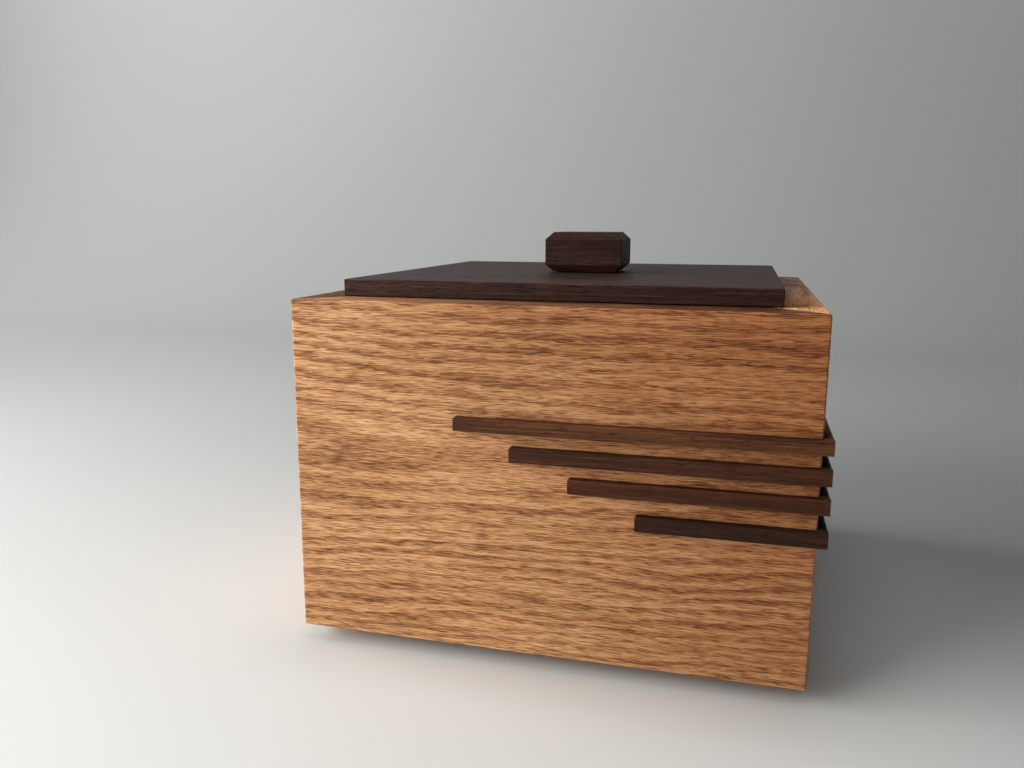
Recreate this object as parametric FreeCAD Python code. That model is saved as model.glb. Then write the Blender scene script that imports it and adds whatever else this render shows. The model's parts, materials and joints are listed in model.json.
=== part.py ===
import FreeCAD, Part
import os

# A square oak box with a loose walnut lid, four walnut strips that wrap one
# corner, and a lock worked by the top strip.  Lengths are in millimetres.
# +X runs to the right along the front, +Y goes to the back, +Z goes up.  The
# origin is the centre of the underside, on the surface the box stands on.

V = FreeCAD.Vector
X_AXIS = V(1, 0, 0)
Y_AXIS = V(0, 1, 0)
Z_AXIS = V(0, 0, 1)

# Oak body: four boards mitred at the corners, on a recessed bottom board
BOX_SIDE = 203.2
WALL = 19.0
WALL_HEIGHT = 138.7
EDGE_ROUND = 0.8
RIM_BEVEL = 0.5
BOTTOM_THICKNESS = 6.0
BOTTOM_INSET = 12.0
BOTTOM_ROUND = 0.5

# Hidden splines that hold the mitres
SPLINE_THICKNESS = 3.0
SPLINE_WIDTH = 12.0
SPLINE_END_MARGIN = 12.0
SPLINE_OUT_FROM_INNER_CORNER = 10.0

# Walnut strips, counted from the top: the top edge's height above the walls'
# lower edge, its own height, and how far it runs from the corner on each face
STRIP_TOPS = (95.5, 85.0, 74.4, 62.2)
STRIP_HEIGHTS = (5.4, 5.8, 5.8, 5.8)
STRIP_REACHES = (134.7, 112.5, 89.7, 64.2)
STRIP_PROUD = 3.5
STRIP_EDGE_ROUND = 0.5
STRIP_TOP_CORNER_ROUND = 1.0
STRIP_BOTTOM_CORNER_ROUND = 0.6

# Walnut lid and the lips that centre it in the opening
LID_WIDTH = 173.0
LID_DEPTH = 169.0
LID_THICKNESS = 6.8
LID_GAP = 0.3
LID_CORNER_ROUND = 0.6
LID_EDGE_ROUND = 0.5
LIP_CLEARANCE = 0.6
LIP_WIDTH = 12.0
LIP_THICKNESS = 4.0

# Knob, a chamfered block that stands just clear of the lid on a dowel
KNOB_WIDTH = 35.6
KNOB_DEPTH = 30.0
KNOB_HEIGHT = 18.1
KNOB_CHAMFER = 3.3
KNOB_CLEAR_OF_LID = 0.4
DOWEL_RADIUS = 5.0
DOWEL_DEPTH_IN_KNOB = 9.0

# Lock: the top strip carries a plate inside the front wall on two pins
SLIDE_TRAVEL = 12.0
SLIDER_CLEARANCE = 0.15
PLATE_CLEARANCE = 0.3
PLATE_THICKNESS = 6.0
PLATE_LEFT = 22.0
PLATE_WIDTH = 50.0
PLATE_BOTTOM = 88.4
PLATE_TOP = 133.6
TONGUE_LENGTH = 18.0
TONGUE_BOTTOM = 122.0
TONGUE_HEIGHT = 6.0
TONGUE_TIP_CHAMFER = 1.2
PIN_RADIUS = 2.0
PIN_CLEARANCE = 0.1
PIN_END_CLEARANCE = 0.3
PIN_DEPTH_IN_STRIP = 2.3
PIN_FIRST = 32.0
PIN_SPACING = 30.0

# Guide rails for the plate, and the keeper that hangs from the lid
GUIDE_LEFT = 6.0
GUIDE_LENGTH = 70.0
GUIDE_DEPTH = 12.0
GUIDE_LIP = 4.0
LOWER_GUIDE_BOTTOM = 80.0
UPPER_GUIDE_TOP = 140.4
KEEPER_WIDTH = 14.0
KEEPER_RIGHT = 0.0
KEEPER_DEPTH = 12.0
KEEPER_BELOW_TONGUE = 7.0
NOTCH_DEPTH = 6.0
NOTCH_CLEARANCE = 0.4

# Countersunk wood screws
SCREW_HEAD_RADIUS = 2.8
SCREW_SHANK_RADIUS = 1.4
SCREW_LENGTH = 16.0
SCREW_POINT = 3.0
SCREW_TIP_RADIUS = 0.1
SCREW_RECESS_REACH = 1.7
SCREW_RECESS_WIDTH = 0.7
SCREW_RECESS_DEPTH = 1.2
BOTTOM_SCREW_SPREAD = 52.0
GUIDE_SCREW_INSET = 8.0

# How far a cutting tool runs on past the face it cuts
OVERSHOOT = 1.0

# Places that follow from the sizes above
half = BOX_SIDE / 2
inner = half - WALL
rim = BOTTOM_THICKNESS + WALL_HEIGHT
lid_under = rim + LID_GAP
lid_top = lid_under + LID_THICKNESS
lip_outer = inner - LIP_CLEARANCE
lip_under = lid_under - LIP_THICKNESS
front_inside = -inner
plate_front = front_inside + PLATE_CLEARANCE
plate_back = plate_front + PLATE_THICKNESS
strip_face = half + STRIP_PROUD
slider_top = BOTTOM_THICKNESS + STRIP_TOPS[0]
pin_height = slider_top - STRIP_HEIGHTS[0] / 2
pin_places = (PIN_FIRST, PIN_FIRST + PIN_SPACING)


def block(low, high):
    """A box between two opposite corners."""
    size = V(*high) - V(*low)
    return Part.makeBox(size.x, size.y, size.z, V(*low))


def runs_along(edge, axis):
    """True for a straight edge parallel to an axis."""
    straight = isinstance(edge.Curve, Part.Line)
    return straight and abs(abs(edge.tangentAt(edge.FirstParameter).dot(axis)) - 1) < 1e-6


def edges_through(shape, **at):
    """The edges whose middle lies at the given x, y or z values."""
    return [e for e in shape.Edges
            if all(abs(getattr(e.CenterOfMass, k) - v) < 1e-3 for k, v in at.items())]


def prism(outline, direction):
    """A solid pushed out of a flat closed outline."""
    points = [V(*p) for p in outline]
    return Part.Face(Part.makePolygon(points + points[:1])).extrude(direction)


def turned(shape, quarters):
    """A copy turned about Z by a number of quarter turns."""
    copy = shape.copy()
    copy.rotate(V(0, 0, 0), Z_AXIS, 90 * quarters)
    return copy


def wood_screw():
    """A countersunk screw along +Z, its head's face at the origin, point down."""
    head_height = SCREW_HEAD_RADIUS - SCREW_SHANK_RADIUS
    shank_end = SCREW_POINT - SCREW_LENGTH
    head = Part.makeCone(SCREW_SHANK_RADIUS, SCREW_HEAD_RADIUS, head_height, V(0, 0, -head_height))
    shank = Part.makeCylinder(SCREW_SHANK_RADIUS, -head_height - shank_end, V(0, 0, shank_end))
    point = Part.makeCone(SCREW_TIP_RADIUS, SCREW_SHANK_RADIUS, SCREW_POINT, V(0, 0, -SCREW_LENGTH))
    screw = head.fuse([shank, point]).removeSplitter()
    arm = SCREW_RECESS_REACH
    edge = SCREW_RECESS_WIDTH / 2
    for long_x, long_y in ((arm, edge), (edge, arm)):
        slot = block((-long_x, -long_y, -SCREW_RECESS_DEPTH), (long_x, long_y, OVERSHOOT))
        screw = screw.cut(slot)
    return screw


def bottom_screws():
    """Eight screws, two under each wall, driven up through the bottom board."""
    screws = []
    out = (inner + half - BOTTOM_INSET) / 2
    for quarter in range(4):
        for along in (-BOTTOM_SCREW_SPREAD, BOTTOM_SCREW_SPREAD):
            screw = wood_screw()
            screw.rotate(V(0, 0, 0), X_AXIS, 180)
            screw.translate(V(along, -out, 0))
            screws.append(turned(screw, quarter))
    return screws


def guide_screws():
    """Four screws that hold the guide rails to the front wall."""
    heights = ((UPPER_GUIDE_TOP + PLATE_TOP + NOTCH_CLEARANCE) / 2,
               (LOWER_GUIDE_BOTTOM + PLATE_BOTTOM - NOTCH_CLEARANCE) / 2)
    screws = []
    for height in heights:
        for x in (GUIDE_LEFT + GUIDE_SCREW_INSET, GUIDE_LEFT + GUIDE_LENGTH - GUIDE_SCREW_INSET):
            screw = wood_screw()
            screw.rotate(V(0, 0, 0), X_AXIS, -90)
            screw.translate(V(x, front_inside + GUIDE_DEPTH, height))
            screws.append(screw)
    return screws


def spline(quarter):
    """One spline, let into both boards across the mitre of a corner."""
    out = inner * 2 ** 0.5 + SPLINE_OUT_FROM_INNER_CORNER
    low = (out - SPLINE_THICKNESS / 2, -SPLINE_WIDTH / 2, BOTTOM_THICKNESS + SPLINE_END_MARGIN)
    high = (out + SPLINE_THICKNESS / 2, SPLINE_WIDTH / 2, rim - SPLINE_END_MARGIN)
    key = block(low, high)
    key.rotate(V(0, 0, 0), Z_AXIS, -45)
    return turned(key, quarter)


def wall_ring():
    """All four walls in one: a block with eased edges round a square well."""
    outer = block((-half, -half, BOTTOM_THICKNESS), (half, half, rim))
    outer = outer.makeFillet(EDGE_ROUND, outer.Edges)
    well = block((-inner, -inner, 0), (inner, inner, rim + OVERSHOOT))
    flare = inner + RIM_BEVEL
    bevel = Part.makeLoft([square(inner, rim - RIM_BEVEL), square(flare, rim)], True, True)
    return outer.cut([well, bevel])


def square(reach, z):
    """A closed square outline at a height."""
    corners = [V(-reach, -reach, z), V(reach, -reach, z), V(reach, reach, z), V(-reach, reach, z)]
    return Part.makePolygon(corners + corners[:1])


def wall_board(quarter, cutters):
    """One board of the ring, between two mitre planes."""
    reach = half + OVERSHOOT
    triangle = [(0, 0, 0), (-reach, -reach, 0), (reach, -reach, 0)]
    wedge = prism(triangle, V(0, 0, rim + OVERSHOOT))
    return wall_ring().common(turned(wedge, quarter)).cut(cutters)


def pin_slots():
    """The slots through the front wall, long enough for the slide."""
    slots = []
    radius = PIN_RADIUS + PIN_CLEARANCE
    travel = SLIDE_TRAVEL + 2 * PIN_END_CLEARANCE
    front = -half - OVERSHOOT
    back = front_inside + OVERSHOOT
    for x in pin_places:
        left = x + PIN_END_CLEARANCE - travel
        ends = [Part.makeCylinder(radius, back - front, V(end, front, pin_height), Y_AXIS)
                for end in (left, left + travel)]
        middle = block((left, front, pin_height - radius),
                       (left + travel, back, pin_height + radius))
        slots.append(middle.fuse(ends).removeSplitter())
    return slots


def bottom_board(screws):
    """The plywood bottom, set in from the walls so that it shows as a shadow line."""
    reach = half - BOTTOM_INSET
    board = block((-reach, -reach, 0), (reach, reach, BOTTOM_THICKNESS))
    board = board.makeFillet(BOTTOM_ROUND, edges_through(board, z=0))
    return board.cut(screws)


def front_strip(number, back=-half):
    """Front leg of a strip; it runs on past the corner to cover the side leg's end."""
    left = half - STRIP_REACHES[number]
    top = BOTTOM_THICKNESS + STRIP_TOPS[number]
    low = top - STRIP_HEIGHTS[number]
    bar = block((left, -strip_face, low), (strip_face, back, top))
    bar = bar.makeFillet(STRIP_TOP_CORNER_ROUND, edges_through(bar, x=left, z=top))
    bar = bar.makeFillet(STRIP_BOTTOM_CORNER_ROUND, edges_through(bar, x=left, z=low))
    front_edges = [e for e in bar.Edges if abs(e.BoundBox.YMax + strip_face) < 1e-3]
    return bar.makeFillet(STRIP_EDGE_ROUND, front_edges)


def side_strip(number):
    """Side leg of a strip, the front leg's mirror image cut back to the front face."""
    bar = front_strip(number).mirror(V(0, 0, 0), V(1, 1, 0))
    beyond_front = block((0, -strip_face - OVERSHOOT, 0), (strip_face + OVERSHOOT, -half, rim))
    return bar.cut(beyond_front)


def secret_strip(pins):
    """Front leg of the top strip, which slides a hair clear of the wall."""
    return front_strip(0, -half - SLIDER_CLEARANCE).cut(pins)


def slider_pins():
    """The two pins that join the top strip to the lock plate through the wall."""
    start = -strip_face + (STRIP_PROUD - SLIDER_CLEARANCE - PIN_DEPTH_IN_STRIP)
    return [Part.makeCylinder(PIN_RADIUS, plate_back - start, V(x, start, pin_height), Y_AXIS)
            for x in pin_places]


def lock_plate(pins):
    """The sliding plate, with the tongue that reaches left for the keeper."""
    right = PLATE_LEFT + PLATE_WIDTH
    tip = PLATE_LEFT - TONGUE_LENGTH
    tongue_top = TONGUE_BOTTOM + TONGUE_HEIGHT
    outline = [(PLATE_LEFT, PLATE_BOTTOM), (right, PLATE_BOTTOM), (right, PLATE_TOP),
               (PLATE_LEFT, PLATE_TOP), (PLATE_LEFT, tongue_top), (tip, tongue_top),
               (tip, TONGUE_BOTTOM), (PLATE_LEFT, TONGUE_BOTTOM)]
    plate = prism([(x, plate_front, z) for x, z in outline], V(0, PLATE_THICKNESS, 0))
    tip_edges = [e for e in edges_through(plate, x=tip) if runs_along(e, Y_AXIS)]
    plate = plate.makeChamfer(TONGUE_TIP_CHAMFER, tip_edges)
    return plate.cut(pins)


def guide_rail(rail_low, rail_high, rabbet_low, rabbet_high, screws):
    """A rail with a rabbet that holds one edge of the plate against the wall."""
    right = GUIDE_LEFT + GUIDE_LENGTH
    rail = block((GUIDE_LEFT, front_inside, rail_low), (right, front_inside + GUIDE_DEPTH, rail_high))
    rabbet = block((GUIDE_LEFT - OVERSHOOT, front_inside - OVERSHOOT, rabbet_low),
                   (right + OVERSHOOT, plate_back + PLATE_CLEARANCE, rabbet_high))
    return rail.cut([rabbet] + screws)


def upper_guide(screws):
    """The rail above the plate, just under the lid's lip."""
    rabbet_top = PLATE_TOP + NOTCH_CLEARANCE
    low = rabbet_top - GUIDE_LIP
    return guide_rail(low, UPPER_GUIDE_TOP, low - OVERSHOOT, rabbet_top, screws)


def lower_guide(screws):
    """The rail that carries the plate's weight."""
    rabbet_bottom = PLATE_BOTTOM - NOTCH_CLEARANCE
    high = rabbet_bottom + GUIDE_LIP
    return guide_rail(LOWER_GUIDE_BOTTOM, high, rabbet_bottom, high + OVERSHOOT, screws)


def keeper():
    """The block under the lid, notched across its front for the tongue."""
    left = KEEPER_RIGHT - KEEPER_WIDTH
    front = -lip_outer
    bottom = TONGUE_BOTTOM - KEEPER_BELOW_TONGUE
    body = block((left, front, bottom), (KEEPER_RIGHT, front + KEEPER_DEPTH, lip_under))
    notch_bottom = TONGUE_BOTTOM - NOTCH_CLEARANCE
    notch_top = TONGUE_BOTTOM + TONGUE_HEIGHT + NOTCH_CLEARANCE
    notch_back = front + NOTCH_DEPTH + PLATE_CLEARANCE
    notch = block((left - OVERSHOOT, front - OVERSHOOT, notch_bottom),
                  (KEEPER_RIGHT + OVERSHOOT, notch_back, notch_top))
    return body.cut(notch)


def lid_panel(dowel):
    """The flat lid, its corners and edges eased."""
    x = LID_WIDTH / 2
    y = LID_DEPTH / 2
    panel = block((-x, -y, lid_under), (x, y, lid_top))
    panel = panel.makeFillet(LID_CORNER_ROUND, [e for e in panel.Edges if runs_along(e, Z_AXIS)])
    panel = panel.makeFillet(LID_EDGE_ROUND, [e for e in panel.Edges if not runs_along(e, Z_AXIS)])
    return panel.cut(dowel)


def lid_lip(quarter):
    """One lip under the lid: front and back run full width, the sides fit between."""
    reach = lip_outer if quarter % 2 == 0 else lip_outer - LIP_WIDTH
    low = (-reach, -lip_outer, lip_under)
    high = (reach, -lip_outer + LIP_WIDTH, lid_under)
    return turned(block(low, high), quarter)


def knob_dowel():
    """The dowel through the lid that carries the knob."""
    length = LID_THICKNESS + KNOB_CLEAR_OF_LID + DOWEL_DEPTH_IN_KNOB
    return Part.makeCylinder(DOWEL_RADIUS, length, V(0, 0, lid_under))


def knob(dowel):
    """The knob, chamfered round its top and its underside; the upright edges stay square."""
    low = lid_top + KNOB_CLEAR_OF_LID
    x = KNOB_WIDTH / 2
    y = KNOB_DEPTH / 2
    body = block((-x, -y, low), (x, y, low + KNOB_HEIGHT))
    level_edges = [e for e in body.Edges if not runs_along(e, Z_AXIS)]
    body = body.makeChamfer(KNOB_CHAMFER, level_edges)
    return body.cut(dowel)


def all_pieces():
    """Every piece by name; a list holds separate identical solids."""
    pins = slider_pins()
    base_screws = bottom_screws()
    rail_screws = guide_screws()
    dowel = knob_dowel()
    splines = [spline(q) for q in range(4)]
    pieces = {}
    cutters = splines + base_screws + rail_screws + pin_slots()
    for quarter, side in enumerate(("front", "right", "back", "left")):
        pieces[side + "_wall"] = wall_board(quarter, cutters)
        pieces["lid_lip_" + side] = lid_lip(quarter)
    corners = ("front_right", "back_right", "back_left", "front_left")
    for corner, key in zip(corners, splines):
        pieces["mitre_spline_" + corner] = key
    pieces["bottom_board"] = bottom_board(base_screws)
    pieces["bottom_screws"] = base_screws
    pieces["secret_strip"] = secret_strip(pins)
    for number in range(len(STRIP_TOPS)):
        if number > 0:
            pieces["front_strip_%d" % (number + 1)] = front_strip(number)
        pieces["side_strip_%d" % (number + 1)] = side_strip(number)
    pieces["slider_pins"] = pins
    pieces["lock_plate"] = lock_plate(pins)
    pieces["upper_guide"] = upper_guide(rail_screws)
    pieces["lower_guide"] = lower_guide(rail_screws)
    pieces["guide_screws"] = rail_screws
    pieces["lid_panel"] = lid_panel(dowel)
    pieces["keeper"] = keeper()
    pieces["knob"] = knob(dowel)
    pieces["knob_dowel"] = dowel
    return pieces


def main():
    """Write one STEP file per piece."""
    os.makedirs("parts", exist_ok=True)
    for name, shape in all_pieces().items():
        solid = Part.Compound(shape) if isinstance(shape, list) else shape
        solid.exportStep("parts/%s.step" % name)
        print("%-26s %8.1f mm3  valid %s  solids %d"
              % (name, solid.Volume, solid.isValid(), len(solid.Solids)))


main()
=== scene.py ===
# %% [markdown]
# # An oak box with a secret strip
#
# The box is eight inches square: four oak boards mitred at the corners, standing on a plywood
# bottom that is set in a little, so that a line of shadow runs under the walls. A loose walnut
# lid with a chamfered knob lies on the rim. Four walnut strips wrap the front right corner in
# steps, and the top one slides to lock the lid from inside.
#
# The CAD model gives every size and every moving part. Here each piece that shows from outside
# gets a finer mesh, with arrises eased as sandpaper leaves them. The pieces inside keep their
# CAD shape but for a narrow bevel, and every piece gets its wood or metal.

# %% Load the model and keep its size
import json
import math

import bmesh
import bpy
from mathutils import Matrix, Vector


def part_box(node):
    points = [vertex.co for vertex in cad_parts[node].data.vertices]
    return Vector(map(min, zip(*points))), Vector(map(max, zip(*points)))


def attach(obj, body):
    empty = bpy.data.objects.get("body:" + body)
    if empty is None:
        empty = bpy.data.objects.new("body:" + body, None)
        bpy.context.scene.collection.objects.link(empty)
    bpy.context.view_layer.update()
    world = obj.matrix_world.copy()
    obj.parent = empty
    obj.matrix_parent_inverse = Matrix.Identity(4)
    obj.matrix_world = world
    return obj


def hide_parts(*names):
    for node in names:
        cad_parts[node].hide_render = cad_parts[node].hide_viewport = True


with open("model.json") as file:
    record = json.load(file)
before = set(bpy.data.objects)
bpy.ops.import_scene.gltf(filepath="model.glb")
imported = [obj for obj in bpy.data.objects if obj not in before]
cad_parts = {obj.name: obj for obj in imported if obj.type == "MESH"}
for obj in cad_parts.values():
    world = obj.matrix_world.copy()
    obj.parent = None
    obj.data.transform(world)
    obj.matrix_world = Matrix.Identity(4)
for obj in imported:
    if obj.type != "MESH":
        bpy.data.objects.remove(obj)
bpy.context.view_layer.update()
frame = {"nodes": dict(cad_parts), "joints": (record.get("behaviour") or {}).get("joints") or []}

# %% [markdown]
# ## Where things are
#
# The CAD pieces say where everything goes. Four measures are read from one wall: how far its
# outside and its inside stand from the middle, and how high its foot and the rim are. Everything
# else about the boards follows from those.

# %% Read the box's main measures
MM = 0.001
wall_low, wall_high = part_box("right_wall")
OUTSIDE = wall_high.x
INSIDE = wall_low.x
WALL_FOOT = wall_low.z
RIM = wall_high.z
print(f"walls {2 * OUTSIDE / MM:.1f} mm outside, {2 * INSIDE / MM:.1f} inside, rim at {RIM / MM:.1f}")

# %% [markdown]
# ## The camera
#
# The box is seen from in front and a little to its right, thirty centimetres from its face, with
# a wide lens like a phone's. That close, the front right corner looms and the walls lean, so both
# the distance and the lens matter more than they would from across a room.

# %% Set up the camera
CAMERA_PLACE = Vector((72.3, -408.1, 175.3)) * MM
CAMERA_TURN_LEFT = math.radians(15.08)
CAMERA_TILT_DOWN = math.radians(10.75)
CAMERA_ROLL = math.radians(0.14)

camera = bpy.data.objects.new("camera", bpy.data.cameras.new("camera"))
bpy.context.scene.collection.objects.link(camera)
camera.data.lens = 30.18
camera.data.sensor_width = 36
camera.data.clip_start = 0.02
camera.matrix_world = (Matrix.Translation(CAMERA_PLACE)
                       @ Matrix.Rotation(CAMERA_TURN_LEFT, 4, "Z")
                       @ Matrix.Rotation(math.pi / 2 - CAMERA_TILT_DOWN, 4, "X")
                       @ Matrix.Rotation(CAMERA_ROLL, 4, "Z"))
bpy.context.scene.camera = camera
bpy.context.scene.view_settings.view_transform = "Standard"
print("camera", round(CAMERA_PLACE.length, 3), "m from the middle of the base")

# %% [markdown]
# ## Wiring a material
#
# Wood needs a lot of shader nodes, and wiring them by hand hides what they do. This small class
# keeps one material's node tree and gives each kind of node a short call, so that a recipe reads
# like the recipe it is: noise drawn out along the grain, a sum, a blend of two colours.

# %% A short way to wire shader nodes
class Finish:
    """One material being wired; each call adds a node and returns its output."""

    def __init__(self, name):
        self.material = bpy.data.materials.new(name)
        self.material.use_nodes = True
        self.tree = self.material.node_tree
        self.surface = self.tree.nodes["Principled BSDF"]

    def put(self, socket, value):
        """Links a socket to another node's output, or sets it to a plain value."""
        if isinstance(value, bpy.types.NodeSocket):
            self.tree.links.new(value, socket)
        else:
            socket.default_value = value

    def add(self, kind, inputs=(), **settings):
        """Adds a node of a kind and returns the node itself."""
        made = self.tree.nodes.new("ShaderNode" + kind)
        for key, value in settings.items():
            setattr(made, key, value)
        for socket, value in dict(inputs).items():
            self.put(made.inputs[socket], value)
        return made

    def calc(self, operation, *values):
        """Plain arithmetic on one to three values."""
        made = self.add("Math", operation=operation)
        for socket, value in zip(made.inputs, values):
            self.put(socket, value)
        return made.outputs[0]

    def step(self, value, start, end, low=0.0, high=1.0):
        """A soft step: low where value has not reached start, high where it is past end."""
        ends = {"Value": value, "From Min": start, "From Max": end, "To Min": low, "To Max": high}
        return self.add("MapRange", ends, interpolation_type="SMOOTHSTEP").outputs[0]

    def blend(self, share, first, second, how="MIX"):
        """Two colours mixed; the Mix node's share and colours are its inputs 0, 6 and 7."""
        made = self.add("Mix", data_type="RGBA", blend_type=how)
        for number, value in ((0, share), (6, first), (7, second)):
            self.put(made.inputs[number], value)
        return made.outputs[2]

    def tones(self, value, stops, easing="LINEAR"):
        """A colour between (place, colour) stops."""
        made = self.add("ValToRGB", {"Fac": value})
        made.color_ramp.interpolation = easing
        while len(made.color_ramp.elements) < len(stops):
            made.color_ramp.elements.new(0.5)
        for element, (place, colour) in zip(made.color_ramp.elements, stops):
            element.position = place
            element.color = (*colour, 1)
        return made.outputs[0]

    def curve(self, value, stops):
        """A smooth curve through (place, height) stops, all from 0 to 1."""
        greys = [(place, (height, height, height)) for place, height in stops]
        return self.tones(value, greys, "EASE")

    def centred(self, noise, swing):
        """Noise moved to swing about nothing."""
        return self.calc("MULTIPLY", self.calc("SUBTRACT", noise, 0.5), swing)

    def grain_space(self, order, offset=(0, 0, 0)):
        """Millimetres in the plank: along the grain, across it, and through it."""
        place = self.add("TexCoord").outputs["Object"]
        split = self.add("SeparateXYZ", {"Vector": place}).outputs
        plank = self.add("CombineXYZ", {k: split[o] for k, o in zip("XYZ", order)}).outputs[0]
        return self.add("VectorMath", {0: plank, 1: (1 / MM,) * 3, 2: offset},
                        operation="MULTIPLY_ADD").outputs[0]

    def streaks(self, space, length, width, seed, detail=2.0):
        """Noise drawn out along the grain, its features about length by width in mm."""
        size = (1 / length, 1 / width, 1 / width)
        shifted = self.add("VectorMath", {0: space, 1: size, 2: (seed * 7.3, seed * 3.1, seed)},
                           operation="MULTIPLY_ADD").outputs[0]
        noise = self.add("TexNoise", {"Vector": shifted, "Scale": 1.0, "Detail": detail})
        return noise.outputs[0]


print("shader helper ready")

# %% [markdown]
# ## The oil coat
#
# Every wood here has the same thin coat of satin oil. It sinks into the pores, which stay rough
# and a little deep. Along the rounded edges the colour is paler, in patches; a value called
# "rounded", stored on each mesh further down, says where those edges are.

# %% The coat on any wood
PORE_DEPTH = 0.05 * MM
BUMP_STRENGTH = 0.8
PORE_ROUGHER = 0.25
# How much paler the rounded edges are, and the size of the patches.
EDGE_PALE_TINT = (1.45, 1.40, 1.32, 1)
EDGE_PALE_MOST = 0.8
EDGE_PALE_PATCH = 9
EDGE_PALE_SEED = 77.0


def finish_wood(wood, colour, height, open_pore, roughness, gloss):
    """Gives a wood its colour and its satin oil coat."""
    bump = wood.add("Bump", {"Height": height, "Distance": PORE_DEPTH, "Strength": BUMP_STRENGTH})
    # Paler colour along the rounded edges, in patches.
    edge = wood.add("Attribute", attribute_name="rounded").outputs["Fac"]
    patches = wood.streaks(wood.grain_space("XYZ"), EDGE_PALE_PATCH, EDGE_PALE_PATCH, EDGE_PALE_SEED)
    in_patch = wood.step(patches, 0.3, 0.6)
    pale_edge = wood.calc("MULTIPLY", wood.calc("MULTIPLY", edge, in_patch), EDGE_PALE_MOST)
    colour = wood.blend(pale_edge, colour, EDGE_PALE_TINT, "MULTIPLY")
    wood.put(wood.surface.inputs["Base Color"], colour)
    wood.put(wood.surface.inputs["Normal"], bump.outputs[0])
    rough = wood.step(open_pore, 0, 1, roughness, roughness + PORE_ROUGHER)
    wood.put(wood.surface.inputs["Roughness"], rough)
    wood.surface.inputs["Specular IOR Level"].default_value = gloss


print("oil coat ready")

# %% [markdown]
# ## Oak
#
# Oak is ring-porous: each year begins with a row of wide pores and ends with dense, smooth wood.
# A board sawn flat from the log cuts those rings at a slant, so the pores gather in wavy bands
# that close into a flame, while each pore stays a dark dash lying along the fibre.
#
# So the wood is modelled as the log, not painted on the face. The distance from the heart, bent
# by slow noise and tapering along the log, says where in a year's growth each point lies. Pores
# are noise drawn out along the grain, and the year's ring decides how many of them open. Because
# all of it is solid, the rim, the inside and a sawn end show the right grain with no extra work.
#
# Each board also darkens to a redder tone towards its upper right. This is painted shade: it stands
# in for the window's light falling off across the face.

# %% Oak, for one board
OAK_RING = 4.2
OAK_HEART_HEIGHT = 86
OAK_HEART_DEPTH = 23.5
OAK_TAPER = 0.025
OAK_YEAR = ((0.0, 0.0), (0.1, 1.0), (0.38, 0.85), (0.7, 0.0), (1.0, 0.0))
OAK_PORE_LIMIT = 0.57
OAK_TONES = ((0.00, (0.780, 0.454, 0.218)),
             (0.30, (0.570, 0.275, 0.112)),
             (0.60, (0.350, 0.141, 0.054)),
             (1.00, (0.140, 0.046, 0.016)))
# Painted shade towards each board's upper right: where it starts and ends, its slant and its tint.
OAK_SHADE_FROM = -25
OAK_SHADE_TO = 210
OAK_SHADE_UPWARD = 0.7
OAK_SHADE_TINT = (0.64, 0.47, 0.38, 1)
OAK_ROUGHNESS = 0.46
OAK_GLOSS = 0.22


def oak(name, order, seed):
    """Oiled oak for one board; order names the axes along, across and through it."""
    wood = Finish(name)
    space = wood.grain_space(order)
    along, across, through = wood.add("SeparateXYZ", {"Vector": space}).outputs

    # How far each point is from the log's heart, in millimetres.
    wander = wood.centred(wood.streaks(space, 150, 45, seed), 26)
    ripple = wood.centred(wood.streaks(space, 36, 13, seed + 1), 6)
    above = wood.calc("ADD", wood.calc("SUBTRACT", across, OAK_HEART_HEIGHT),
                      wood.calc("ADD", wander, ripple))
    depth = wood.calc("SUBTRACT", OUTSIDE / MM, wood.calc("ABSOLUTE", through))
    behind = wood.calc("SUBTRACT", depth, OAK_HEART_DEPTH)
    radius = wood.calc("SQRT", wood.calc("ADD", wood.calc("MULTIPLY", above, above),
                                         wood.calc("MULTIPLY", behind, behind)))
    fray = wood.centred(wood.streaks(space, 30, 0.6, seed + 6), 1.0)
    radius = wood.calc("ADD", wood.calc("ADD", radius, fray),
                       wood.calc("MULTIPLY", along, OAK_TAPER))

    # The part of the year it grew in, and how many pores that opens.
    year = wood.calc("FRACT", wood.calc("DIVIDE", radius, OAK_RING))
    patch = wood.step(wood.streaks(space, 110, 8, seed + 2, 3), 0.3, 0.6, 0.3, 1.0)
    band = wood.calc("MULTIPLY", wood.curve(year, OAK_YEAR), patch)
    limit = wood.calc("SUBTRACT", OAK_PORE_LIMIT, wood.calc("MULTIPLY", band, 0.11))
    dashes = wood.calc("SUBTRACT", wood.streaks(space, 6.0, 0.26, seed + 3, 1.0), limit)
    open_pore = wood.step(dashes, 0.0, 0.05)

    # The tone, from the palest wood to the bottom of a pore.
    fibre = wood.calc("ADD", wood.centred(wood.streaks(space, 60, 0.9, seed + 4, 1), 0.25),
                      wood.centred(wood.streaks(space, 11, 0.38, seed + 7), 0.95))
    cloud = wood.centred(wood.streaks(space, 80, 14, seed + 5), 0.5)
    tone = wood.calc("ADD", wood.calc("MULTIPLY", band, 0.15), wood.calc("ADD", fibre, cloud))
    tone = wood.calc("ADD", wood.calc("ADD", tone, 0.20), wood.calc("MULTIPLY", open_pore, 0.50))
    colour = wood.tones(tone, OAK_TONES)

    # Painted shade: darker and redder towards the upper right, where the window's light falls off.
    shade_slant = wood.calc("MULTIPLY_ADD", across, OAK_SHADE_UPWARD, along)
    drift_and_shade = wood.step(shade_slant, OAK_SHADE_FROM, OAK_SHADE_TO)
    colour = wood.blend(drift_and_shade, colour, OAK_SHADE_TINT, "MULTIPLY")

    height = wood.calc("SUBTRACT", wood.calc("MULTIPLY", fibre, 0.25), open_pore)
    finish_wood(wood, colour, height, open_pore, OAK_ROUGHNESS, OAK_GLOSS)
    return wood.material


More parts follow.
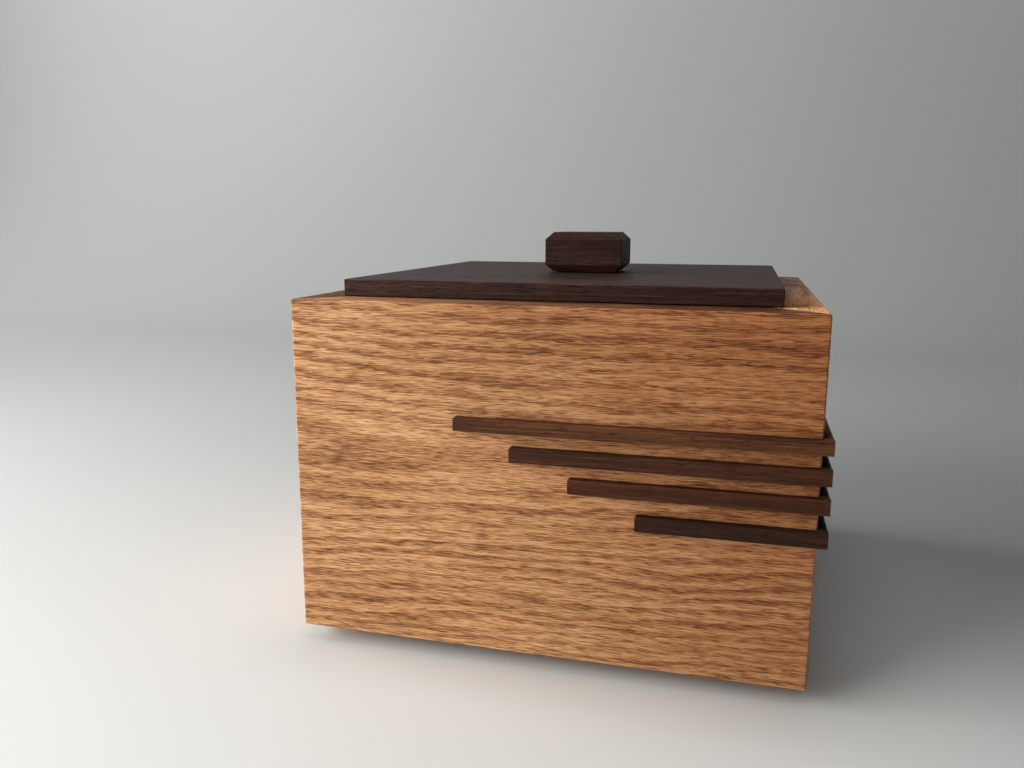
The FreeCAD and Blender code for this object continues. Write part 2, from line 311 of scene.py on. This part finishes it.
# Each board comes from its own length of plank, so each has its own seed.
oak_front = oak("oak_front", "XZY", 1.0)
oak_back = oak("oak_back", "XZY", 5.0)
oak_left = oak("oak_left", "YZX", 9.0)
oak_right = oak("oak_right", "YZX", 13.0)
print("oak boards:", [m.name for m in (oak_front, oak_back, oak_left, oak_right)])

# %% [markdown]
# ## Walnut
#
# Walnut is darker and finer. Its pores are scattered through the whole year, short and thin, and
# its colour drifts from chocolate to nearly black in long streaks. The lid and the knob come from
# a darker plank than most of the strips, so the recipe takes two colours.

# %% Walnut, in any tone
WALNUT_RING = 5.0
WALNUT_HEART = (0, -30, 40)
WALNUT_YEAR = ((0.0, 0.2), (0.7, 0.5), (0.93, 1.0), (1.0, 0.2))
WALNUT_ROUGHNESS = 0.50
WALNUT_GLOSS = 0.12
KNOB_GLOSS = 0.08
LID_TONES = ((0.078, 0.035, 0.026), (0.028, 0.013, 0.010))
KNOB_TONES = ((0.058, 0.026, 0.021), (0.026, 0.012, 0.010))


def walnut(name, order, seed, light, dark, gloss=WALNUT_GLOSS):
    """Oiled walnut, drifting between a light and a dark tone along the grain."""
    wood = Finish(name)
    space = wood.grain_space(order, WALNUT_HEART)
    across, through = wood.add("SeparateXYZ", {"Vector": space}).outputs[1:]
    wander = wood.streaks(space, 190, 40, seed)
    across = wood.calc("ADD", across, wood.calc("MULTIPLY", wander, 26))
    radius = wood.calc("SQRT", wood.calc("ADD", wood.calc("MULTIPLY", across, across),
                                         wood.calc("MULTIPLY", through, through)))
    year = wood.calc("FRACT", wood.calc("DIVIDE", radius, WALNUT_RING))
    late = wood.curve(year, WALNUT_YEAR)
    drift_and_shade = wood.step(wood.streaks(space, 120, 6, seed + 1, 3), 0.3, 0.7, 0, 0.7)
    tone = wood.calc("ADD", drift_and_shade, wood.calc("MULTIPLY", late, 0.3))
    fibre = wood.streaks(space, 28, 0.6, seed + 2, 3)
    pores = wood.step(wood.streaks(space, 6, 0.30, seed + 3, 1), 0.58, 0.66)
    deep = tuple(0.4 * c for c in dark)
    glow = tuple(1.5 * c for c in light)
    colour = wood.blend(tone, (*light, 1), (*dark, 1))
    colour = wood.blend(wood.step(fibre, 0.5, 0.72, 0.0, 0.8), colour, (*dark, 1))
    colour = wood.blend(wood.step(fibre, 0.46, 0.3, 0.0, 0.6), colour, (*glow, 1))
    colour = wood.blend(wood.calc("MULTIPLY", pores, 0.7), colour, (*deep, 1))
    height = wood.calc("SUBTRACT", wood.calc("MULTIPLY", fibre, 0.2), pores)
    finish_wood(wood, colour, height, pores, WALNUT_ROUGHNESS, gloss)
    return wood.material


walnut_lid = walnut("walnut_lid", "XYZ", 21.0, *LID_TONES)
walnut_knob = walnut("walnut_knob", "XZY", 25.0, *KNOB_TONES, gloss=KNOB_GLOSS)
print("walnut for the lid and knob ready")

# %% [markdown]
# ## Shapes
#
# A piece is built as a bmesh: a block, its edges eased, and whatever is cut out of it. Then it is
# turned into an object that rides on its body and stands for its CAD pieces. On the way, the
# middle of every rounded edge is marked for the oil coat.

# %% Mesh helpers
ROUND_STEPS = 5
NARROW = 0.4 * MM
NEAR = 0.01 * MM
SPECK = 0.001 * MM
REACH = 10 * MM


def block(low, high):
    """A bmesh box between two corners."""
    made = bmesh.new()
    bmesh.ops.create_cube(made, size=1)
    size = Vector(high) - Vector(low)
    middle = (Vector(high) + Vector(low)) / 2
    bmesh.ops.transform(made, matrix=Matrix.Translation(middle) @ Matrix.Diagonal((*size, 1)),
                        verts=made.verts)
    return made


def ease(shape, edges, width, steps=ROUND_STEPS):
    """Rounds the given edges over; one step makes a flat chamfer."""
    bmesh.ops.bevel(shape, geom=list(edges), offset=width, offset_type="OFFSET",
                    segments=steps, profile=0.5, affect="EDGES", clamp_overlap=True)


def is_level(edge):
    """True for an edge that lies flat."""
    return abs(edge.verts[0].co.z - edge.verts[1].co.z) < NEAR


def mark_rounds(shape):
    """Marks the middle of every rounded edge: the points with only narrow faces round them."""
    layer = shape.verts.layers.float.new("rounded")
    narrow = {face: 2 * face.calc_area() < NARROW * face.calc_perimeter() for face in shape.faces}
    for vert in shape.verts:
        vert[layer] = float(all(narrow[face] for face in vert.link_faces))


def show(name, shape, material, body, replaces=()):
    """Turns a bmesh into a piece that rides on a body and stands for CAD nodes."""
    bmesh.ops.dissolve_degenerate(shape, dist=SPECK, edges=shape.edges)
    bmesh.ops.recalc_face_normals(shape, faces=shape.faces)
    mark_rounds(shape)
    mesh = bpy.data.meshes.new(name)
    shape.to_mesh(mesh)
    shape.free()
    mesh.materials.append(material)
    mesh.shade_smooth()
    piece = bpy.data.objects.new(name, mesh)
    bpy.context.scene.collection.objects.link(piece)
    piece.modifiers.new("flat faces stay flat", "WEIGHTED_NORMAL").keep_sharp = True
    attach(piece, body)
    if replaces:
        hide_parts(*replaces)
    return piece


def cut_away(shape, cutter):
    """shape less cutter, both bmeshes; returns a new bmesh."""
    pair = []
    for part in (shape, cutter):
        mesh = bpy.data.meshes.new("cut")
        part.to_mesh(mesh)
        part.free()
        pair.append(bpy.data.objects.new("cut", mesh))
        bpy.context.scene.collection.objects.link(pair[-1])
    keep, tool = pair
    saw = keep.modifiers.new("saw", "BOOLEAN")
    saw.operation = "DIFFERENCE"
    saw.solver = "EXACT"
    saw.object = tool
    result = bmesh.new()
    result.from_object(keep, bpy.context.evaluated_depsgraph_get())
    for part in pair:
        bpy.data.objects.remove(part)
    return result


print("mesh helpers ready")

# %% [markdown]
# ## The four boards
#
# A mitred box is one ring of wood to look at: the arris runs round the corners unbroken, and only
# the turn of the grain gives the joint away. Bevelling four separate boards would leave a groove
# at each corner, so the ring is made whole, its outside edges rounded and its well cut out, and
# then each board is the quarter between two mitre planes. The front board also gets the two
# slots that the slider's pins run in.

# %% Cut the ring into four boards
EDGE_ROUND = 0.8 * MM
RIM_EASE = 0.5 * MM
SLOT_END_GAP = 0.3 * MM
SLOT_SIDE_GAP = 0.1 * MM
SLOT_END_ROUND = 0.98


def wall_ring():
    """The whole ring of walls, with rounded outside edges."""
    outer = block((-OUTSIDE, -OUTSIDE, WALL_FOOT), (OUTSIDE, OUTSIDE, RIM))
    ease(outer, outer.edges, EDGE_ROUND)
    well = block((-INSIDE, -INSIDE, WALL_FOOT - REACH), (INSIDE, INSIDE, RIM + REACH))
    ring = cut_away(outer, well)
    inner_rim = [e for e in ring.edges
                 if all(abs(v.co.z - RIM) < NEAR and max(abs(v.co.x), abs(v.co.y)) < INSIDE + 10 * NEAR
                        for v in e.verts)]
    ease(ring, inner_rim, RIM_EASE, 3)
    return ring


def pin_slots():
    """Two slots for the slider's pins, right through the front wall."""
    slide = next(j["range_m"][1] for j in frame["joints"] if j["name"] == "strip_slide")
    pins_low, pins_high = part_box("slider_pins")
    radius = (pins_high.z - pins_low.z) / 2
    middle_z = (pins_high.z + pins_low.z) / 2
    slots = bmesh.new()
    for right in (pins_low.x + 2 * radius, pins_high.x):
        left = right - 2 * radius - slide
        slot = block((left - SLOT_END_GAP, -OUTSIDE - REACH, middle_z - radius - SLOT_SIDE_GAP),
                     (right + SLOT_END_GAP, -INSIDE + REACH, middle_z + radius + SLOT_SIDE_GAP))
        through_wall = [e for e in slot.edges if abs(e.verts[0].co.y - e.verts[1].co.y) > REACH]
        ease(slot, through_wall, radius * SLOT_END_ROUND, 8)
        mesh = bpy.data.meshes.new("slot")
        slot.to_mesh(mesh)
        slot.free()
        slots.from_mesh(mesh)
    return slots


def wall_board(ring, quarter):
    """The quarter of the ring between two mitre planes, turned to its side."""
    board = ring.copy()
    for lean in (1, -1):
        geometry = board.verts[:] + board.edges[:] + board.faces[:]
        bmesh.ops.bisect_plane(board, geom=geometry, plane_co=(0, 0, 0), plane_no=(lean, 1, 0),
                               clear_outer=True)
        bmesh.ops.holes_fill(board, edges=[e for e in board.edges if e.is_boundary])
    turn = Matrix.Rotation(quarter * math.pi / 2, 3, "Z")
    bmesh.ops.rotate(board, verts=board.verts, matrix=turn)
    return board


ring = wall_ring()
for quarter, (side, wood) in enumerate((("front", oak_front), ("right", oak_right),
                                        ("back", oak_back), ("left", oak_left))):
    board = wall_board(ring, quarter)
    if side == "front":
        board = cut_away(board, pin_slots())
    piece = show(f"{side}_board", board, wood, "box", [f"{side}_wall"])
    print(piece.name, len(piece.data.polygons), "faces")

# %% [markdown]
# ## The strips
#
# Each strip is a bar of walnut about six millimetres tall that stands three and a half proud of
# the oak. The free ends are softened by hand, most of all at the upper corner, and the long edges
# keep only a light ease. The front legs run past the corner and hide the ends of the side legs.
# The strips are not from one piece of wood: the first is the palest, and the fourth nearly black.

# %% Make the strips
STRIP_TONES = {1: ((0.150, 0.057, 0.023), (0.050, 0.018, 0.008)),
               2: ((0.088, 0.031, 0.013), (0.036, 0.013, 0.007)),
               3: ((0.095, 0.031, 0.013), (0.046, 0.015, 0.007)),
               4: ((0.052, 0.020, 0.010), (0.022, 0.010, 0.006))}
STRIP_SEED = 30.0
LONG_EASE = 0.45 * MM
TOP_END_ROUND = 1.0 * MM
LOW_END_ROUND = 0.6 * MM


def strip_bar(node):
    """A bar of the CAD strip's size, its free end rounded and its edges eased."""
    low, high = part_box(node)
    bar = block(low, high)
    lengthways = 0 if high.x - low.x > high.y - low.y else 1
    outward = 1 - lengthways
    free_end = low.x if lengthways == 0 else high.y
    face = low.y if outward == 1 else high.x
    for z, width in ((high.z, TOP_END_ROUND), (low.z, LOW_END_ROUND)):
        end_edges = [e for e in bar.edges
                     if all(abs(v.co[lengthways] - free_end) < NEAR and abs(v.co.z - z) < NEAR
                            for v in e.verts)]
        ease(bar, end_edges, width)
    face_edges = [e for e in bar.edges if all(abs(v.co[outward] - face) < NEAR for v in e.verts)]
    ease(bar, face_edges, LONG_EASE, 4)
    return bar


for number, (light, dark) in STRIP_TONES.items():
    front_node = "secret_strip" if number == 1 else f"front_strip_{number}"
    legs = ((front_node, "XZY", "secret_slider" if number == 1 else "box"),
            (f"side_strip_{number}", "YZX", "box"))
    for node, order, body in legs:
        wood = walnut(f"walnut_{node}", order, STRIP_SEED + 3 * number, light, dark)
        show(f"{node}_bar", strip_bar(node), wood, body, [node])

# %% [markdown]
# ## The lid and the knob
#
# The lid is a plain panel with every arris just broken. The knob is a block whose level edges are
# chamfered above and below, while its upright edges stay square. The chamfers are crisp, with
# only a whisper of rounding along them. The knob stands on a dowel a hair above the lid.

# %% Make the lid and knob
LID_EDGE = 0.5 * MM
LID_CORNER = 0.6 * MM
KNOB_CHAMFER = 3.3 * MM
KNOB_ARRIS = 0.25 * MM
SHARP = math.radians(17)


def lid_shape():
    """The panel with eased edges and the dowel's hole."""
    low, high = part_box("lid_panel")
    panel = block(low, high)
    ease(panel, [e for e in panel.edges if not is_level(e)], LID_CORNER)
    ease(panel, [e for e in panel.edges if is_level(e) and e.calc_face_angle(0) > SHARP],
         LID_EDGE, 4)
    dowel_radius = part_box("knob_dowel")[1].x
    hole = bmesh.new()
    bmesh.ops.create_cone(hole, cap_ends=True, segments=48, radius1=dowel_radius,
                          radius2=dowel_radius, depth=4 * REACH,
                          matrix=Matrix.Translation((0, 0, high.z)))
    return cut_away(panel, hole)


def knob_shape():
    """The chamfered block, its own arrises barely rounded."""
    body = block(*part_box("knob"))
    ease(body, [e for e in body.edges if is_level(e)], KNOB_CHAMFER, 1)
    ease(body, [e for e in body.edges if e.calc_face_angle(0) > SHARP], KNOB_ARRIS, 3)
    return body


show("lid_board", lid_shape(), walnut_lid, "lid", ["lid_panel"])
show("knob_block", knob_shape(), walnut_knob, "lid", ["knob"])
print("lid and knob made")

# %% [markdown]
# ## Maple
#
# The lock parts are maple, which is pale and close-grained: faint streaks, and small flecks
# instead of pores.

# %% A pale wood
MAPLE_TONES = ((0.62, 0.45, 0.27), (0.50, 0.34, 0.19))
MAPLE_OFFSET = (0, 20, 35)


def pale_wood(name, order, seed, light, dark):
    """A pale, close-grained wood."""
    wood = Finish(name)
    space = wood.grain_space(order, MAPLE_OFFSET)
    drift_and_shade = wood.streaks(space, 80, 7, seed, 3)
    fibre = wood.streaks(space, 18, 0.4, seed + 1, 3)
    fleck = wood.step(wood.streaks(space, 2.2, 0.25, seed + 2, 1), 0.62, 0.7)
    colour = wood.blend(wood.step(drift_and_shade, 0.3, 0.7), (*light, 1), (*dark, 1))
    colour = wood.blend(wood.step(fibre, 0.3, 0.7, 0, 0.4), colour, (*dark, 1))
    deep = tuple(0.5 * c for c in dark)
    colour = wood.blend(wood.calc("MULTIPLY", fleck, 0.35), colour, (*deep, 1))
    finish_wood(wood, colour, wood.calc("MULTIPLY", fibre, 0.3), fleck, 0.5, 0.4)
    return wood.material


maple = pale_wood("maple", "XZY", 51.0, *MAPLE_TONES)
print("maple ready")

# %% [markdown]
# ## Birch plywood
#
# The bottom and the splines hidden in the mitres are plywood. Every other ply is turned, so a
# sawn edge shows pale and dark lines, with a thin line of glue at the foot of each pair. The
# plies are counted up from the underside, and a pair is taken a hair over two plies, which leaves
# the bottom board's upper face mostly pale.

# %% Plywood
PLY = 1.2
PLY_PAIR = 2.01 * PLY
PLY_OFFSET = 0.01
BIRCH_PALE = (0.62, 0.46, 0.29, 1)
BIRCH_STREAK = (0.50, 0.34, 0.20, 1)
BIRCH_END = (0.30, 0.18, 0.09, 1)
GLUE = (0.12, 0.07, 0.04, 1)


def plywood(name, seed):
    """Birch plywood: every other ply is turned so that its ends show at the edges."""
    wood = Finish(name)
    space = wood.grain_space("XYZ")
    height = wood.add("SeparateXYZ", {"Vector": space}).outputs[2]
    layer = wood.calc("FRACT", wood.calc("DIVIDE", wood.calc("ADD", height, PLY_OFFSET), PLY_PAIR))
    turned = wood.step(layer, 0.48, 0.51)
    glue = wood.step(wood.calc("PINGPONG", layer, 0.5), 0.03, 0.0)
    fibre = wood.streaks(space, 22, 0.5, seed, 3)
    cross = wood.streaks(wood.grain_space("YXZ"), 22, 0.5, seed + 1, 3)
    shade = wood.blend(turned, fibre, cross)
    colour = wood.blend(wood.step(shade, 0.3, 0.7), BIRCH_PALE, BIRCH_STREAK)
    colour = wood.blend(wood.calc("MULTIPLY", turned, 0.55), colour, BIRCH_END)
    colour = wood.blend(wood.calc("MULTIPLY", glue, 0.6), colour, GLUE)
    fleck = wood.step(wood.streaks(space, 3, 0.3, seed + 2, 1), 0.6, 0.7)
    finish_wood(wood, colour, wood.calc("MULTIPLY", shade, 0.3), fleck, 0.55, 0.3)
    return wood.material


birch = plywood("birch_ply", 55.0)
print("plywood ready")

# %% [markdown]
# ## Steel and brass
#
# The pins are ground steel and the screws brass. Both have fine scratches, and a little tarnish
# that dulls the colour and the shine in patches.

# %% Metals
SCRATCH_DEPTH = 0.01 * MM


def metal(name, colour, roughness):
    """Bare metal, with fine scratches and a little tarnish."""
    bar = Finish(name)
    space = bar.grain_space("XYZ")
    scratch = bar.streaks(space, 0.4, 0.03, 3.0)
    tarnish = bar.streaks(space, 2.5, 2.0, 8.0, 3)
    dull = tuple(c * 0.6 for c in colour)
    bar.put(bar.surface.inputs["Base Color"],
            bar.blend(bar.step(tarnish, 0.4, 0.75), (*colour, 1), (*dull, 1)))
    bar.surface.inputs["Metallic"].default_value = 1.0
    bar.put(bar.surface.inputs["Roughness"], bar.step(tarnish, 0.3, 0.8, roughness, roughness + 0.2))
    bump = bar.add("Bump", {"Height": scratch, "Distance": SCRATCH_DEPTH, "Strength": 0.5})
    bar.put(bar.surface.inputs["Normal"], bump.outputs[0])
    return bar.material


steel = metal("pin_steel", (0.55, 0.55, 0.56), 0.28)
brass = metal("screw_brass", (0.70, 0.50, 0.20), 0.32)
print("metals ready")

# %% [markdown]
# ## What works inside
#
# The pieces nobody sees until the lid is off keep their CAD shape. A narrow bevel breaks the
# edges of the wooden ones, because a perfectly sharp edge never catches light. The lips under the
# lid are walnut like the lid, and two of them run the other way.

# %% Dress the CAD pieces that still show
BROKEN_EDGE = 0.35 * MM
LIP_EDGE = 0.5 * MM
BREAK_FROM = math.radians(40)


def dress(node, material, edge_width=0.0):
    """Gives a CAD piece its material and, if a width is given, breaks its edges."""
    piece = frame["nodes"][node]
    piece.data.materials.clear()
    piece.data.materials.append(material)
    if edge_width:
        edge = piece.modifiers.new("broken edges", "BEVEL")
        edge.width = edge_width
        edge.segments = 2
        edge.limit_method = "ANGLE"
        edge.angle_limit = BREAK_FROM


walnut_across = walnut("walnut_lip_side", "YXZ", 61.0, *LID_TONES)
for node in ("lock_plate", "upper_guide", "lower_guide", "keeper"):
    dress(node, maple, BROKEN_EDGE)
for side, wood in (("front", walnut_lid), ("back", walnut_lid),
                   ("left", walnut_across), ("right", walnut_across)):
    dress(f"lid_lip_{side}", wood, LIP_EDGE)
for corner in ("front_right", "back_right", "back_left", "front_left"):
    dress(f"mitre_spline_{corner}", birch)
dress("bottom_board", birch, BROKEN_EDGE)
dress("knob_dowel", walnut_knob)
dress("slider_pins", steel)
dress("bottom_screws", brass)
dress("guide_screws", brass)
print("CAD pieces dressed:", sum(not n.hide_render for n in frame["nodes"].values()))

# %% [markdown]
# ## The table and the backdrop
#
# The table is white and the wall behind pale grey. The wall stands well back, so that the box can
# be looked at from any side. The table's top is a fifth of a millimetre low, because two faces in
# exactly the same place would flicker.

# %% Table and backdrop in one sweep
TABLE_TOP = -0.2 * MM
TABLE_FRONT = -2.5
SWEEP_START = 0.8
SWEEP_RADIUS = 0.7
SWEEP_TOP = 3.0
SWEEP_HALF = 4.0
SWEEP_STEPS = 24
PAPER_COLOUR = (0.765, 0.775, 0.765, 1)
PAPER_ROUGHNESS = 0.55


def sweep_profile():
    """Points (y, z) along the table, up the curve and up the backdrop."""
    points = [(TABLE_FRONT, TABLE_TOP)]
    for i in range(SWEEP_STEPS + 1):
        turn = i / SWEEP_STEPS * math.pi / 2
        points.append((SWEEP_START + SWEEP_RADIUS * math.sin(turn),
                       TABLE_TOP + SWEEP_RADIUS * (1 - math.cos(turn))))
    points.append((SWEEP_START + SWEEP_RADIUS, SWEEP_TOP))
    return points


profile = sweep_profile()
corners = [(x, y, z) for x in (-SWEEP_HALF, SWEEP_HALF) for y, z in profile]
count = len(profile)
faces = [(i, i + 1, count + i + 1, count + i) for i in range(count - 1)]
sweep_mesh = bpy.data.meshes.new("sweep")
sweep_mesh.from_pydata(corners, [], faces)
sweep_mesh.shade_smooth()
sweep = bpy.data.objects.new("sweep", sweep_mesh)
bpy.context.scene.collection.objects.link(sweep)
paper = Finish("pale_paper")
paper.surface.inputs["Base Color"].default_value = PAPER_COLOUR
paper.surface.inputs["Roughness"].default_value = PAPER_ROUGHNESS
sweep_mesh.materials.append(paper.material)
print("sweep of", len(faces), "faces")

# %% [markdown]
# ## The light
#
# A broad window to the left and a little in front gives most of the light: the front face fades
# from left to right, and a soft shadow falls to the right. A weak lamp overhead lifts the table in
# front of the box, and another lights the backdrop. The room itself glows a little, more from the
# left than from the right.

# %% Window, lamps and room
WINDOW_PLACE = Vector((-0.68, -0.50, 0.34))
WINDOW_AIM = Vector((0, 0, 0.06))
WINDOW_WATTS = 8.9
OVERHEAD_PLACE = Vector((0.0, -0.12, 0.95))
OVERHEAD_AIM = Vector((0.03, -0.40, 0))
OVERHEAD_WATTS = 0.46
OVERHEAD_SPREAD = math.radians(62)
BACKDROP_LAMP_PLACE = Vector((-1.6, 0.2, 1.1))
BACKDROP_LAMP_AIM = Vector((-0.2, 1.5, 0.4))
BACKDROP_LAMP_WATTS = 14.0
DAYLIGHT = (1.0, 0.985, 0.96)
COOL_LIGHT = (0.97, 0.99, 1.0)
ROOM_COLOUR = (0.93, 0.96, 1.0, 1)
ROOM_GLOW = {"From Min": 0.6, "From Max": -1.0, "To Min": 0.022, "To Max": 0.15}


def soft_light(name, place, aim, width, height, watts, colour):
    """A rectangular soft light that faces a point."""
    light = bpy.data.lights.new(name, "AREA")
    light.shape = "RECTANGLE"
    light.size, light.size_y = width, height
    light.energy = watts
    light.color = colour
    lamp = bpy.data.objects.new(name, light)
    bpy.context.scene.collection.objects.link(lamp)
    lamp.location = place
    lamp.rotation_euler = (aim - place).to_track_quat("-Z", "Y").to_euler()
    return lamp


def room_glow():
    """A world whose strength changes with the direction: the far left is the brightest."""
    world = bpy.data.worlds.new("room")
    world.use_nodes = True
    room = world.node_tree
    direction = room.nodes.new("ShaderNodeTexCoord")
    split = room.nodes.new("ShaderNodeSeparateXYZ")
    strength = room.nodes.new("ShaderNodeMapRange")
    for socket, value in ROOM_GLOW.items():
        strength.inputs[socket].default_value = value
    room.links.new(direction.outputs["Generated"], split.inputs[0])
    room.links.new(split.outputs["X"], strength.inputs["Value"])
    room.links.new(strength.outputs[0], room.nodes["Background"].inputs["Strength"])
    room.nodes["Background"].inputs["Color"].default_value = ROOM_COLOUR
    return world


soft_light("window", WINDOW_PLACE, WINDOW_AIM, 0.80, 0.50, WINDOW_WATTS, DAYLIGHT)
overhead = soft_light("overhead", OVERHEAD_PLACE, OVERHEAD_AIM, 0.4, 0.4, OVERHEAD_WATTS, DAYLIGHT)
overhead.data.spread = OVERHEAD_SPREAD
soft_light("backdrop_light", BACKDROP_LAMP_PLACE, BACKDROP_LAMP_AIM, 1.2, 1.2, BACKDROP_LAMP_WATTS,
           COOL_LIGHT)
bpy.context.scene.world = room_glow()
print("window", round((WINDOW_PLACE - WINDOW_AIM).length, 2), "m away")
